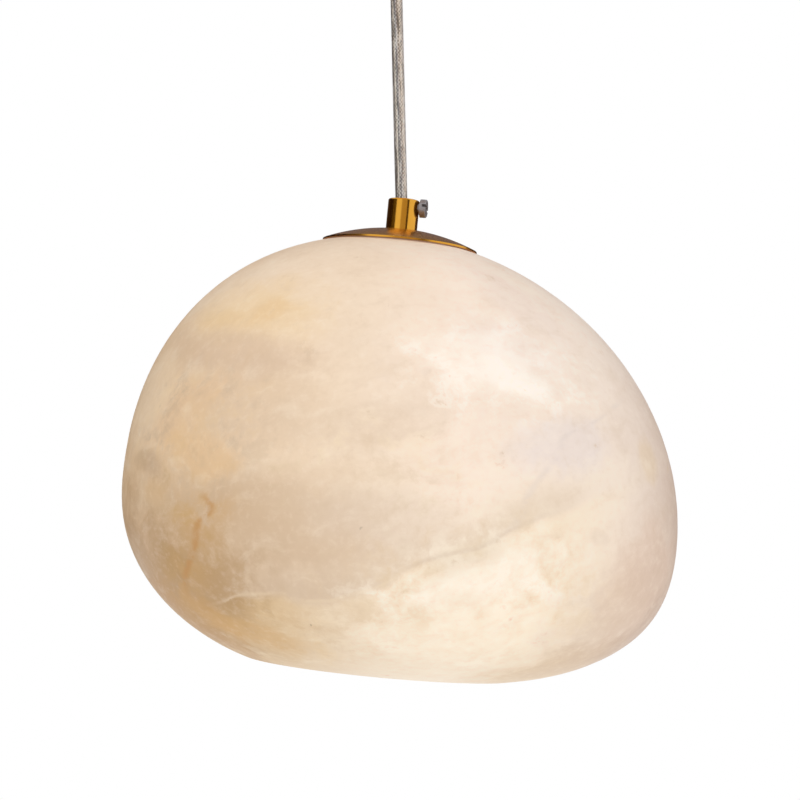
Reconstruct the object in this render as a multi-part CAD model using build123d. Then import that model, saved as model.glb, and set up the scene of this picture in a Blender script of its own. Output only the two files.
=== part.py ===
from build123d import *
from collections import namedtuple
import math
import os

# An alabaster pendant light: a hollow pebble of stone, closed by a brass cap and hung on a clear
# braided cord from a brass ceiling canopy. Millimetres. The origin is on the ceiling, at the middle
# of the canopy, with +X to the viewer's right, +Y away from the viewer and +Z up.

# Clearances
THREAD_GAP = 0.05      # a thread or shaft in its hole, all round
SEAT_GAP = 0.05        # between curved faces that bear on each other
LOOSE_GAP = 0.3        # round what moves or bends freely
HOLE_GAP = 0.25        # a clearance hole, all round

# Cord
CORD_D = 5.0
CORD_LENGTH = 96.0     # free stretch, from mouth to mouth of the two grips
CORD_LEAN = 1.4        # degrees from plumb, to the right going down
CORE_D = 1.8           # one insulated wire inside the cord
CORE_RING_R = 1.25     # the wires lie round the cord's centre at this radius
CORD_OFFSET = 1.15     # how far a clamp screw pushes the cord off the grip's axis

# Lamp head
HANG_TILT = 5.4        # degrees that the head leans to the right on the end of the cord

# Stone shade, measured from the axis of the fitting and from the ground seat under the cap
SHADE_RIGHT = 124.0
SHADE_LEFT = 103.7
SHADE_DEPTH = 206.0
SHADE_HEIGHT = 172.8
RIGHT_WAIST = 111.2    # depth of the widest level below the seat
LEFT_WAIST = 105.0
DEPTH_WAIST = 103.0
RIGHT_CROWN_EXPONENT = 1.94   # roundness above the waist: 2 is an ellipse, more is squarer
LEFT_CROWN_EXPONENT = 2.2
DEPTH_CROWN_EXPONENT = 2.0
RIGHT_BELLY_EXPONENT = 2.61   # roundness below the waist
LEFT_BELLY_EXPONENT = 2.14
DEPTH_BELLY_EXPONENT = 2.4
BASE_RIGHT = 64.0      # the flat underside, round the lower opening
BASE_LEFT = 48.0
BASE_DEPTH = 80.0
SHADE_WALL = 9.0
NECK_WALL = 10.0       # stone between the seat and the bar pads
FLOOR_WALL = 11.0
OPENING_D = 46.0
LOWER_OPENING_D = 60.0 # for the light and for changing the bulb
OPENING_CHAMFER = 1.0
SEAT_LAND = 6.0        # ground ring round the opening
STONE_LAYERS = 14      # sections in each loft

# Cap and its gasket
CAP_D = 64.0
CAP_THICK = 1.2
CAP_RISE = 7.1         # from the lip to the flat under the grip
CAP_LIP = 0.7          # upright edge of the lip
LAND_MARGIN = 0.6      # flat of the cap round the grip's foot
GASKET_MARGIN = 0.5    # ground ring left bare on each side of the gasket

# Cord grips, one on the cap and one under the canopy
GRIP_D = 13.0
GRIP_H = 12.9
GRIP_ROUND = 0.7       # rounded edge at the mouth's end
SOCKET_DEPTH = 6.0     # tapped from the foot
MOUTH_FLARE = 0.8

# Clamp screws
SCREW_D = 4.0
SCREW_LEVEL = 9.8      # above the grip's foot
SCREW_AIM = 10.0       # degrees towards the viewer from straight right
SCREW_HEAD_D = 7.6
SCREW_HEAD_T = 2.6
SCREW_HEAD_ROUND = 0.5
SCREW_STANDOFF = 0.7   # between the grip and the screw's head
SCREW_COLLAR_D = 5.6   # shoulder under the head
SCREW_SLOT_W = 1.2
SCREW_SLOT_DEPTH = 1.6
SCREW_SLOT_TURN = -13.0 # degrees from level, as the screw was left
SCREW_BITE_GAP = 0.1   # between the screw's tip and the cord
SLOT_W = 1.1           # small screws
SLOT_DEPTH = 1.2

# Hollow threaded tubes, washers and nuts
TUBE_D = 10.0
TUBE_PLAY = 0.05       # between the pushed cord and the tube's bore
TUBE_STOP = 0.5        # the tube ends this far short of the bottom of the grip's socket
TUBE_TAIL = 1.5        # thread that stands out past a nut or plate
WASHER_D = 20.0
WASHER_T = 1.0
NUT_FLATS = 14.0
NUT_T = 4.0

# Retaining bar inside the stone
BAR_LAP = 7.0          # how far the bar reaches past the opening at each end
BAR_W = 16.0
BAR_T = 2.5
PAD_T = 1.5
NECK_FLAT_MARGIN = 1.5 # flat stone left past the bar's ends

# Lampholder
HOLDER_D = 26.0
HOLDER_H = 25.0
HOLDER_WALL = 1.2
HOLDER_TOP = 3.0       # tapped top plate
HOLDER_ROUND = 1.5
CERAMIC_H = 15.0
CERAMIC_CHAMFER = 0.8
PIN_PITCH = 9.0
PIN_D = 1.0
PIN_LENGTH = 8.0
CONTACT_D = 3.0
CONTACT_DEPTH = 9.0
HOLDER_SCREW_D = 3.0
HOLDER_SCREW_HEAD_D = 5.4
HOLDER_SCREW_HEAD_T = 1.6
HOLDER_SCREW_BITE = 3.0

# Bulb
BULB_BASE_D = 15.0
BULB_BASE_H = 13.0
BULB_BASE_ROUND = 1.0
BULB_D = 17.0
BULB_LENGTH = 40.0     # diffuser alone
BULB_WALL = 1.0
LED_CORE_D = 7.0
LED_CORE_LENGTH = 30.0
BULB_NECK_LAP = 2.0    # height of the diffuser's straight neck on the base

# Ceiling canopy
CANOPY_D = 100.0
CANOPY_H = 25.0
CANOPY_THICK = 1.2
CANOPY_ROUND = 8.0
STUD_SPACING = 76.0
STUD_D = 4.0
STUD_GRIP = 5.0        # thread inside each ball nut
BALL_D = 9.6
BALL_DROP = 3.6        # from the canopy to the middle of the ball

# Ceiling bracket
BRACKET_LENGTH = 92.0
BRACKET_W = 18.0
BRACKET_T = 2.0
SLOT_SPACING = 50.0    # ceiling screws
SLOT_LENGTH = 12.0
CEILING_SCREW_D = 4.6
TAB_W = 16.0
EARTH_SCREW_X = 13.0
EARTH_SCREW_D = 4.0
EARTH_HEAD_D = 7.5
EARTH_HEAD_T = 2.6

# Terminal block
POLE_COUNT = 3
POLE_PITCH = 9.5
BLOCK_W = 15.0
BLOCK_H = 12.0
BLOCK_ROUND = 1.0
BLOCK_SETBACK = 1.0    # from the bracket's edge
POLE_GROOVE_W = 1.4
POLE_GROOVE_DEPTH = 4.0
WIRE_WAY_D = 3.2
WIRE_WAY_LEVEL = 5.0   # below the tab
WELL_D = 3.8
WELL_SPACING = 7.6     # the two screws of one pole
TERMINAL_SCREW_SINK = 1.0
FIXING_SCREW_D = 2.6
FIXING_HEAD_D = 4.6
FIXING_HEAD_T = 1.4
LEAD_BEND_R = 2.5
LEAD_RISE = 4.5        # straight out of the cord before the first bend
LEAD_RUN = 3.0         # straight run before the block

# Levels of the head, above the ground seat
OPENING_R = OPENING_D / 2
SEAT_R = OPENING_R + SEAT_LAND
BAR_LENGTH = OPENING_D + 2 * BAR_LAP
NECK_FLAT_R = BAR_LENGTH / 2 + NECK_FLAT_MARGIN
TUBE_R = TUBE_D / 2
TUBE_BORE_R = CORD_D / 2 + CORD_OFFSET + TUBE_PLAY
BAR_TOP = -NECK_WALL - PAD_T
BAR_BOTTOM = BAR_TOP - BAR_T
NUT_TOP = BAR_BOTTOM - WASHER_T
HOLDER_LEVEL = NUT_TOP - NUT_T
TUBE_BOTTOM = HOLDER_LEVEL - HOLDER_TOP - TUBE_TAIL
HOLDER_MOUTH = HOLDER_LEVEL - HOLDER_H
CERAMIC_TOP = HOLDER_MOUTH + CERAMIC_H

# Each side of the stone, by how far it reaches, where it is widest and how it is rounded
Side = namedtuple("Side", "reach waist top_flat base_flat crown belly")
SHADE_SIDES = (
    Side(SHADE_LEFT, -LEFT_WAIST, SEAT_R, BASE_LEFT, LEFT_CROWN_EXPONENT, LEFT_BELLY_EXPONENT),
    Side(SHADE_RIGHT, -RIGHT_WAIST, SEAT_R, BASE_RIGHT, RIGHT_CROWN_EXPONENT, RIGHT_BELLY_EXPONENT),
    Side(SHADE_DEPTH / 2, -DEPTH_WAIST, SEAT_R, BASE_DEPTH / 2, DEPTH_CROWN_EXPONENT, DEPTH_BELLY_EXPONENT),
)


def pole_share(flat, side, power):
    """Share of the full height of a superellipse at which it is as wide as the flat that cuts it."""
    return (1 - (flat / side.reach) ** power) ** (1 / power)


def reach_at(side, level, top, bottom):
    """How far one side reaches from the axis at a level, on a superellipse that runs from the edge
    of the top flat through the widest point to the edge of the base flat."""
    if level > side.waist:
        climb = (level - side.waist) / (top - side.waist) * pole_share(side.top_flat, side, side.crown)
        power = side.crown
    else:
        climb = (level - side.waist) / (bottom - side.waist) * pole_share(side.base_flat, side, side.belly)
        power = side.belly
    return side.reach * (1 - climb ** power) ** (1 / power)


def crown_level(side, radius):
    """Level of the stone's surface above the waist, at a distance from the axis."""
    climb = pole_share(radius, side, side.crown) / pole_share(side.top_flat, side, side.crown)
    return side.waist * (1 - climb)


LIP_INNER_R = CAP_D / 2 - 1.5 * CAP_THICK
CAP_LIP_LEVEL = max(crown_level(side, LIP_INNER_R) for side in SHADE_SIDES) + SEAT_GAP
GRIP_LEVEL = CAP_LIP_LEVEL + CAP_RISE
MOUTH_LEVEL = GRIP_LEVEL + GRIP_H
TUBE_TOP = GRIP_LEVEL + SOCKET_DEPTH - TUBE_STOP
CAP_HOLE_R = TUBE_R + HOLE_GAP
CAP_LAND_R = GRIP_D / 2 + LAND_MARGIN

# Where the cord hangs and how the head hangs on it
CORD_TOP = Vector(-CORD_OFFSET, 0, -CANOPY_H - GRIP_H)
CORD_FALL = Vector(math.sin(math.radians(CORD_LEAN)), 0, -math.cos(math.radians(CORD_LEAN)))
CORD_BOTTOM = CORD_TOP + CORD_FALL * CORD_LENGTH
HEAD = Location(CORD_BOTTOM) * Rot(0, HANG_TILT, 0) * Pos(CORD_OFFSET, 0, -MOUTH_LEVEL)
CORD_SEAT = Pos(-CORD_OFFSET, 0, 0)
HEAD_GRIP = Pos(0, 0, GRIP_LEVEL)
CANOPY_GRIP = Pos(0, 0, -CANOPY_H) * Rot(180, 0, 0)
SCREW_SEAT = Pos(0, 0, SCREW_LEVEL) * Rot(0, 0, -SCREW_AIM)


def rod(radius, bottom, top):
    """Round bar on the Z axis between two levels."""
    return Pos(0, 0, bottom) * Cylinder(radius, top - bottom, align=(Align.CENTER, Align.CENTER, Align.MIN))


def ring(outer_r, inner_r, bottom, top):
    """Round tube on the Z axis between two levels."""
    return rod(outer_r, bottom, top) - rod(inner_r, bottom, top)


def turned(outline):
    """Solid of revolution about Z, from a closed outline drawn as radius and level."""
    return revolve(Plane.XZ * make_face(outline), Axis.Z)


def pebble(sides, top, bottom):
    """Lofted stone: ellipses whose ends lie on the left, right and depth curves."""
    sections = []
    for layer in range(STONE_LAYERS + 1):
        level = bottom + (top - bottom) * (1 - math.cos(math.pi * layer / STONE_LAYERS)) / 2
        left, right, depth = (reach_at(side, level, top, bottom) for side in sides)
        sections.append(Pos((right - left) / 2, 0, level) * Ellipse((right + left) / 2, depth))
    return loft(sections)


def alabaster_shade():
    """The stone: a hollow pebble, open at the top under the cap and at the flat underside."""
    inside = [
        side._replace(reach=side.reach - SHADE_WALL, top_flat=NECK_FLAT_R)
        for side in SHADE_SIDES
    ]
    stone = pebble(SHADE_SIDES, 0, -SHADE_HEIGHT)
    stone -= pebble(inside, -NECK_WALL, FLOOR_WALL - SHADE_HEIGHT)
    stone -= rod(OPENING_R, -NECK_WALL, 0)
    stone -= rod(LOWER_OPENING_D / 2, -SHADE_HEIGHT, FLOOR_WALL - SHADE_HEIGHT)
    for radius, level, turn in ((OPENING_R, 0, 0), (LOWER_OPENING_D / 2, -SHADE_HEIGHT, 180)):
        arris = Pos(0, 0, -OPENING_CHAMFER / 2) * Cone(radius, radius + OPENING_CHAMFER, OPENING_CHAMFER)
        stone -= Pos(0, 0, level) * Rot(turn, 0, 0) * arris
    return stone


def cap_dome():
    """Level of the centre and radius of the sphere that the cap's top follows."""
    lip_r = CAP_D / 2
    lip_top = CAP_LIP_LEVEL + CAP_LIP
    across = lip_r ** 2 + lip_top ** 2 - CAP_LAND_R ** 2 - GRIP_LEVEL ** 2
    centre = across / (2 * (lip_top - GRIP_LEVEL))
    return centre, math.hypot(CAP_LAND_R, GRIP_LEVEL - centre)


def dome_arc(radius, start, end):
    """Arc about the cap's centre, between two points drawn as radius and level."""
    centre = cap_dome()[0]
    middle = ((start[0] + end[0]) / 2, (start[1] + end[1]) / 2 - centre)
    stretch = radius / math.hypot(*middle)
    return ThreePointArc(start, (middle[0] * stretch, middle[1] * stretch + centre), end)


def top_cap():
    """Spun brass dome with a flat for the grip and an upright lip just off the stone."""
    centre, outer = cap_dome()
    inner = outer - CAP_THICK
    lip_r = CAP_D / 2
    lip_top = CAP_LIP_LEVEL + CAP_LIP
    under = GRIP_LEVEL - CAP_THICK
    under_r = math.sqrt(inner ** 2 - (under - centre) ** 2)
    lip_inner = math.sqrt(inner ** 2 - (CAP_LIP_LEVEL - centre) ** 2)
    outline = Curve() + [
        Line((CAP_HOLE_R, GRIP_LEVEL), (CAP_LAND_R, GRIP_LEVEL)),
        dome_arc(outer, (CAP_LAND_R, GRIP_LEVEL), (lip_r, lip_top)),
        Polyline((lip_r, lip_top), (lip_r, CAP_LIP_LEVEL), (lip_inner, CAP_LIP_LEVEL)),
        dome_arc(inner, (lip_inner, CAP_LIP_LEVEL), (under_r, under)),
        Polyline((under_r, under), (CAP_HOLE_R, under), (CAP_HOLE_R, GRIP_LEVEL)),
    ]
    return turned(outline)


def cap_gasket():
    """Silicone ring that lies flat on the seat and follows the inside of the cap."""
    centre, outer = cap_dome()
    sphere = outer - CAP_THICK - SEAT_GAP
    inner_r = OPENING_R + OPENING_CHAMFER + GASKET_MARGIN
    outer_r = SEAT_R - GASKET_MARGIN
    inner_top = math.sqrt(sphere ** 2 - inner_r ** 2) + centre
    outer_top = math.sqrt(sphere ** 2 - outer_r ** 2) + centre
    outline = Curve() + [
        Polyline((inner_r, inner_top), (inner_r, 0), (outer_r, 0), (outer_r, outer_top)),
        dome_arc(sphere, (outer_r, outer_top), (inner_r, inner_top)),
    ]
    return turned(outline)


def cord_grip():
    """Turned collar: tapped foot, flared cord hole and a tapped cross hole for the clamp screw."""
    hole_r = CORD_D / 2 + CORD_OFFSET + LOOSE_GAP
    grip = rod(GRIP_D / 2, 0, GRIP_H)
    grip = fillet(grip.edges().sort_by(Axis.Z)[-1], GRIP_ROUND)
    grip -= rod(TUBE_R + THREAD_GAP, 0, SOCKET_DEPTH)
    grip -= rod(hole_r, SOCKET_DEPTH, GRIP_H)
    grip -= Pos(0, 0, GRIP_H - MOUTH_FLARE / 2) * Cone(hole_r, hole_r + MOUTH_FLARE, MOUTH_FLARE)
    cross_hole = Rot(0, 90, 0) * rod(SCREW_D / 2 + THREAD_GAP, 0, GRIP_D)
    return grip - SCREW_SEAT * cross_hole


def clamp_screw():
    """Slotted screw along X whose tip bears on the pushed cord."""
    tip = CORD_D / 2 - CORD_OFFSET * math.cos(math.radians(SCREW_AIM)) + SCREW_BITE_GAP
    head_foot = GRIP_D / 2 + SCREW_STANDOFF
    head_face = head_foot + SCREW_HEAD_T
    head = rod(SCREW_HEAD_D / 2, head_foot, head_face)
    head = fillet(head.edges().sort_by(Axis.Z)[-1], SCREW_HEAD_ROUND)
    slot = Box(SCREW_SLOT_W, SCREW_HEAD_D, 2 * SCREW_SLOT_DEPTH)
    head -= Pos(0, 0, head_face) * Rot(0, 0, SCREW_SLOT_TURN) * slot
    head += rod(SCREW_COLLAR_D / 2, GRIP_D / 2 + LOOSE_GAP, head_foot)
    shank = rod(SCREW_D / 2, tip, head_foot)
    return Rot(0, 90, 0) * (head + shank)


def hex_nut(bottom, top):
    """Plain hexagon nut on a threaded tube."""
    nut = extrude(Pos(0, 0, bottom) * RegularPolygon(NUT_FLATS / 2, 6, major_radius=False), top - bottom)
    return nut - rod(TUBE_R + THREAD_GAP, bottom, top)


def cord_stub(bottom, top):
    """Stretch of the cord that a grip and a tube hold."""
    return CORD_SEAT * rod(CORD_D / 2, bottom, top)


def free_cord():
    """Taut stretch between the grips, with round ends that turn in the flared mouths."""
    run = rod(CORD_D / 2, 0, CORD_LENGTH)
    run += Sphere(CORD_D / 2)
    run += Pos(0, 0, CORD_LENGTH) * Sphere(CORD_D / 2)
    return Location(CORD_BOTTOM) * Rot(0, -CORD_LEAN, 0) * run


def retaining_bar():
    """Steel strap that bears up against the stone from inside."""
    bar = extrude(Pos(0, 0, BAR_BOTTOM) * SlotOverall(BAR_LENGTH, BAR_W), BAR_T)
    return bar - rod(TUBE_R + HOLE_GAP, BAR_BOTTOM, BAR_TOP)


def bar_pads():
    """Rubber pads on both ends of the bar, clear of the opening."""
    blank = extrude(Pos(0, 0, BAR_TOP) * SlotOverall(BAR_LENGTH, BAR_W), PAD_T)
    return blank - rod(OPENING_R + LOOSE_GAP, BAR_TOP, BAR_TOP + PAD_T)


def holder_screw_seats():
    """The two sides of the lampholder that a screw goes through."""
    level = (CERAMIC_TOP + HOLDER_MOUTH) / 2
    return [Pos(0, 0, level) * Rot(0, 0, turn) * Rot(0, 90, 0) for turn in (90, 270)]


def holder_cup():
    """Pressed steel cup with a tapped top plate."""
    cup = rod(HOLDER_D / 2, HOLDER_MOUTH, HOLDER_LEVEL)
    cup = fillet(cup.edges().sort_by(Axis.Z)[-1], HOLDER_ROUND)
    cup -= rod(HOLDER_D / 2 - HOLDER_WALL, HOLDER_MOUTH, HOLDER_LEVEL - HOLDER_TOP)
    cup -= rod(TUBE_R + THREAD_GAP, HOLDER_LEVEL - HOLDER_TOP, HOLDER_LEVEL)
    for seat in holder_screw_seats():
        cup -= seat * rod(HOLDER_SCREW_D / 2 + THREAD_GAP, 0, HOLDER_D)
    return cup


def pin_places():
    """The two pin positions, either side of the axis."""
    return [Pos(x, 0, 0) for x in (-PIN_PITCH / 2, PIN_PITCH / 2)]


def holder_core():
    """Ceramic body with a hole for each contact and for each lead."""
    radius = HOLDER_D / 2 - HOLDER_WALL - SEAT_GAP
    core = rod(radius, HOLDER_MOUTH, CERAMIC_TOP)
    core = chamfer(core.edges().sort_by(Axis.Z)[-1], CERAMIC_CHAMFER)
    for place in pin_places():
        core -= place * rod(CONTACT_D / 2, HOLDER_MOUTH, HOLDER_MOUTH + CONTACT_DEPTH)
    for seat in holder_screw_seats():
        core -= seat * rod(HOLDER_SCREW_D / 2 + THREAD_GAP, radius - HOLDER_SCREW_BITE, HOLDER_D)
    return core


def holder_contacts():
    """Spring sleeves that take the bulb's pins."""
    sleeve = ring(CONTACT_D / 2 - SEAT_GAP, PIN_D / 2 + LOOSE_GAP, HOLDER_MOUTH, HOLDER_MOUTH + CONTACT_DEPTH)
    return Compound(children=[place * sleeve for place in pin_places()])


def holder_screws():
    """Pan-head screws that fix the ceramic in the cup."""
    cup_r = HOLDER_D / 2
    tip = cup_r - HOLDER_WALL - HOLDER_SCREW_BITE
    head = rod(HOLDER_SCREW_HEAD_D / 2, cup_r, cup_r + HOLDER_SCREW_HEAD_T)
    screw = head + rod(HOLDER_SCREW_D / 2, tip, cup_r)
    return Compound(children=[seat * screw for seat in holder_screw_seats()])


def lamp_leads():
    """Two wires from the cord's end down to the ceramic."""
    lead = rod(CORE_D / 2, CERAMIC_TOP, TUBE_BOTTOM)
    return Compound(children=[CORD_SEAT * Pos(x, 0, 0) * lead for x in (-CORE_RING_R, CORE_RING_R)])


def bulb_base():
    """Moulded body of the bulb, face to face with the ceramic."""
    bottom = HOLDER_MOUTH - BULB_BASE_H
    base = rod(BULB_BASE_D / 2, bottom, HOLDER_MOUTH)
    return fillet(base.edges().sort_by(Axis.Z)[-1], BULB_BASE_ROUND)


def bulb_pins():
    """The two pins of the bulb."""
    pin = rod(PIN_D / 2, HOLDER_MOUTH, HOLDER_MOUTH + PIN_LENGTH)
    return Compound(children=[place * pin for place in pin_places()])


def bulb_diffuser():
    """Opal shell with a round end, closed against the base by a shoulder."""
    top = HOLDER_MOUTH - BULB_BASE_H
    radius = BULB_D / 2
    tip = top - BULB_LENGTH

    def capsule(r, upper, lower):
        return rod(r, lower + r, upper) + Pos(0, 0, lower + r) * Sphere(r)

    neck = ring(radius, BULB_BASE_D / 2 + SEAT_GAP, top, top + BULB_NECK_LAP)
    shell = capsule(radius, top, tip) - capsule(radius - BULB_WALL, top, tip + BULB_WALL)
    return shell + neck


def bulb_led_core():
    """Post that carries the light-emitting diodes, standing on the base."""
    top = HOLDER_MOUTH - BULB_BASE_H
    return extrude(Pos(0, 0, top - LED_CORE_LENGTH) * RegularPolygon(LED_CORE_D / 2, 6), LED_CORE_LENGTH)


def stud_places():
    """The two studs of the canopy, on the X axis."""
    return [Pos(x, 0, 0) for x in (-STUD_SPACING / 2, STUD_SPACING / 2)]


def ceiling_canopy():
    """Spun brass cup with a rounded bottom edge, open to the ceiling."""
    rim_r = CANOPY_D / 2
    inner_r = rim_r - CANOPY_THICK
    flat_r = rim_r - CANOPY_ROUND
    floor = CANOPY_THICK - CANOPY_H
    bend = CANOPY_ROUND - CANOPY_H
    outline = Curve() + [
        Line((CAP_HOLE_R, -CANOPY_H), (flat_r, -CANOPY_H)),
        RadiusArc((flat_r, -CANOPY_H), (rim_r, bend), -CANOPY_ROUND),
        Polyline((rim_r, bend), (rim_r, 0), (inner_r, 0), (inner_r, bend)),
        RadiusArc((inner_r, bend), (flat_r, floor), CANOPY_ROUND - CANOPY_THICK),
        Polyline((flat_r, floor), (CAP_HOLE_R, floor), (CAP_HOLE_R, -CANOPY_H)),
    ]
    cup = turned(outline)
    for place in stud_places():
        cup -= place * rod(STUD_D / 2 + HOLE_GAP, -CANOPY_H, floor)
    return cup


def block_centre():
    """Middle of the terminal block, beside the bracket on the viewer's side."""
    return -BRACKET_W / 2 - BLOCK_SETBACK - BLOCK_W / 2


def canopy_bracket():
    """Slotted strap for the ceiling screws, with a side tab for the terminal block."""
    tab_length = BLOCK_SETBACK + BLOCK_W
    tab = Pos(0, -BRACKET_W / 2 - tab_length / 2) * Rectangle(TAB_W, tab_length)
    plan = SlotOverall(BRACKET_LENGTH, BRACKET_W) + tab
    for x in (-SLOT_SPACING / 2, SLOT_SPACING / 2):
        plan -= Pos(x, 0) * SlotOverall(SLOT_LENGTH, CEILING_SCREW_D)
    plan -= Pos(EARTH_SCREW_X, 0) * Circle(EARTH_SCREW_D / 2 + THREAD_GAP)
    plan -= Pos(0, block_centre()) * Circle(FIXING_SCREW_D / 2 + THREAD_GAP)
    for place in stud_places():
        plan -= place * Circle(STUD_D / 2 + THREAD_GAP)
    return extrude(Pos(0, 0, -BRACKET_T) * plan, BRACKET_T)


def canopy_studs():
    """Two studs that hang the canopy from the bracket."""
    stud = rod(STUD_D / 2, -CANOPY_H - STUD_GRIP, 0)
    return Compound(children=[place * stud for place in stud_places()])


def canopy_ball_nuts():
    """Ball nuts under the canopy, flat where they meet it."""
    ball = Pos(0, 0, -CANOPY_H - BALL_DROP) * Sphere(BALL_D / 2)
    ball -= Pos(0, 0, -CANOPY_H) * Box(BALL_D, BALL_D, BALL_D, align=(Align.CENTER, Align.CENTER, Align.MIN))
    ball -= rod(STUD_D / 2 + THREAD_GAP, -CANOPY_H - STUD_GRIP, -CANOPY_H)
    return Compound(children=[place * ball for place in stud_places()])


def pole_offsets():
    """Places of the poles along the terminal block."""
    return [POLE_PITCH * (pole - (POLE_COUNT - 1) / 2) for pole in range(POLE_COUNT)]


def terminal_block():
    """Moulded block with a wire way through each pole and two screw wells to it."""
    length = POLE_COUNT * POLE_PITCH
    block = Pos(0, 0, -BRACKET_T - BLOCK_H / 2) * Box(length, BLOCK_W, BLOCK_H)
    block = fillet(block.edges().filter_by(Axis.Z), BLOCK_ROUND)
    bottom = -BRACKET_T - BLOCK_H
    groove = Box(POLE_GROOVE_W, BLOCK_W, 2 * POLE_GROOVE_DEPTH)
    for x in pole_offsets()[:-1]:
        block -= Pos(x + POLE_PITCH / 2, 0, bottom) * groove
    for x in pole_offsets():
        way = Pos(x, 0, -BRACKET_T - WIRE_WAY_LEVEL) * Rot(90, 0, 0)
        block -= way * Cylinder(WIRE_WAY_D / 2, BLOCK_W)
        for y in (-WELL_SPACING / 2, WELL_SPACING / 2):
            block -= Pos(x, y, 0) * rod(WELL_D / 2, bottom, -BRACKET_T - WIRE_WAY_LEVEL)
    block -= rod(FIXING_SCREW_D / 2 + THREAD_GAP, bottom, -BRACKET_T)
    return Pos(0, block_centre(), 0) * block


def terminal_screws():
    """Clamping screws in the wells, down on the wires."""
    tip = -BRACKET_T - WIRE_WAY_LEVEL - CORE_D / 2
    head = -BRACKET_T - BLOCK_H + TERMINAL_SCREW_SINK
    screw = rod(WELL_D / 2 - THREAD_GAP, head, tip)
    screw -= Pos(0, 0, head) * Box(WELL_D, SLOT_W, SLOT_DEPTH)
    places = [
        Pos(x, block_centre() + y, 0)
        for x in pole_offsets()
        for y in (-WELL_SPACING / 2, WELL_SPACING / 2)
    ]
    return Compound(children=[place * screw for place in places])


def canopy_lead(pole_x, start):
    """One wire from the cord's end into its pole, bent in round arcs."""
    level = -BRACKET_T - WIRE_WAY_LEVEL
    face = block_centre() + BLOCK_W / 2
    lead_end = block_centre() + WELL_SPACING / 2 - WELL_D / 2
    route = FilletPolyline(
        start,
        start + Vector(0, 0, LEAD_RISE),
        Vector(pole_x, face + LEAD_RUN, level),
        Vector(pole_x, lead_end, level),
        radius=LEAD_BEND_R,
    )
    return sweep(Plane(start, z_dir=(0, 0, 1)) * Circle(CORE_D / 2), route)


def canopy_leads(cord_end):
    """A wire for each pole, from round the cord's centre."""
    leads = []
    for pole, x in enumerate(pole_offsets()):
        turn = math.radians(210 + pole * 360 / POLE_COUNT)
        start = Vector(CORE_RING_R * math.cos(turn) - CORD_OFFSET, CORE_RING_R * math.sin(turn), cord_end)
        leads.append(canopy_lead(x, start))
    return Compound(children=leads)


def headed_screw(shank_d, head_d, head_t, top, seat):
    """Screw driven upwards: its head hangs below the seat."""
    screw = rod(shank_d / 2, seat, top) + rod(head_d / 2, seat - head_t, seat)
    return screw - Pos(0, 0, seat - head_t) * Box(head_d, SLOT_W, head_t)


def ceiling_nodes():
    """Every piece of the ceiling fitting, by name."""
    floor = CANOPY_THICK - CANOPY_H
    nut_bottom = floor + WASHER_T
    nipple_top = nut_bottom + NUT_T + TUBE_TAIL
    socket_end = TUBE_STOP - SOCKET_DEPTH - CANOPY_H
    cord_stop = CORD_TOP.Z + CORD_D / 2 + LOOSE_GAP
    earth = headed_screw(EARTH_SCREW_D, EARTH_HEAD_D, EARTH_HEAD_T, 0, -BRACKET_T)
    fixing = headed_screw(FIXING_SCREW_D, FIXING_HEAD_D, FIXING_HEAD_T, 0, -BRACKET_T - BLOCK_H)
    return {
        "ceiling_canopy": ceiling_canopy(),
        "canopy_bracket": canopy_bracket(),
        "canopy_studs": canopy_studs(),
        "canopy_ball_nuts": canopy_ball_nuts(),
        "canopy_nipple": ring(TUBE_R, TUBE_BORE_R, socket_end, nipple_top),
        "canopy_washer": ring(WASHER_D / 2, TUBE_R + HOLE_GAP, floor, nut_bottom),
        "canopy_nut": hex_nut(nut_bottom, nut_bottom + NUT_T),
        "canopy_cord_grip": CANOPY_GRIP * cord_grip(),
        "canopy_clamp_screw": CANOPY_GRIP * SCREW_SEAT * clamp_screw(),
        "cord_upper_end": cord_stub(cord_stop, nipple_top),
        "canopy_leads": canopy_leads(nipple_top),
        "terminal_block": terminal_block(),
        "terminal_screws": terminal_screws(),
        "terminal_fixing_screw": Pos(0, block_centre(), 0) * fixing,
        "earth_screw": Pos(EARTH_SCREW_X, 0, 0) * earth,
    }


def head_nodes():
    """Every piece of the lamp head and the bulb, by name, in the head's own upright frame."""
    cord_stop = MOUTH_LEVEL - CORD_D / 2 - LOOSE_GAP
    return {
        "cord_grip": HEAD_GRIP * cord_grip(),
        "clamp_screw": HEAD_GRIP * SCREW_SEAT * clamp_screw(),
        "top_cap": top_cap(),
        "cap_gasket": cap_gasket(),
        "alabaster_shade": alabaster_shade(),
        "threaded_tube": ring(TUBE_R, TUBE_BORE_R, TUBE_BOTTOM, TUBE_TOP),
        "retaining_bar": retaining_bar(),
        "bar_pads": bar_pads(),
        "bar_washer": ring(WASHER_D / 2, TUBE_R + HOLE_GAP, NUT_TOP, BAR_BOTTOM),
        "bar_nut": hex_nut(HOLDER_LEVEL, NUT_TOP),
        "cord_lower_end": cord_stub(TUBE_BOTTOM, cord_stop),
        "lamp_leads": lamp_leads(),
        "holder_cup": holder_cup(),
        "holder_core": holder_core(),
        "holder_contacts": holder_contacts(),
        "holder_screws": holder_screws(),
        "bulb_base": bulb_base(),
        "bulb_pins": bulb_pins(),
        "bulb_diffuser": bulb_diffuser(),
        "bulb_led_core": bulb_led_core(),
    }


def all_nodes():
    """The whole light in its resting place, by node name."""
    nodes = ceiling_nodes()
    nodes["cord"] = free_cord()
    for name, shape in head_nodes().items():
        nodes[name] = HEAD * shape
    return nodes


os.makedirs("parts", exist_ok=True)
for node_name, node_shape in all_nodes().items():
    export_step(node_shape, f"parts/{node_name}.step")
print(f"free cord {CORD_LENGTH:.1f} mm, straight, section {CORD_D:.1f} mm")
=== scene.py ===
import math

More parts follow.
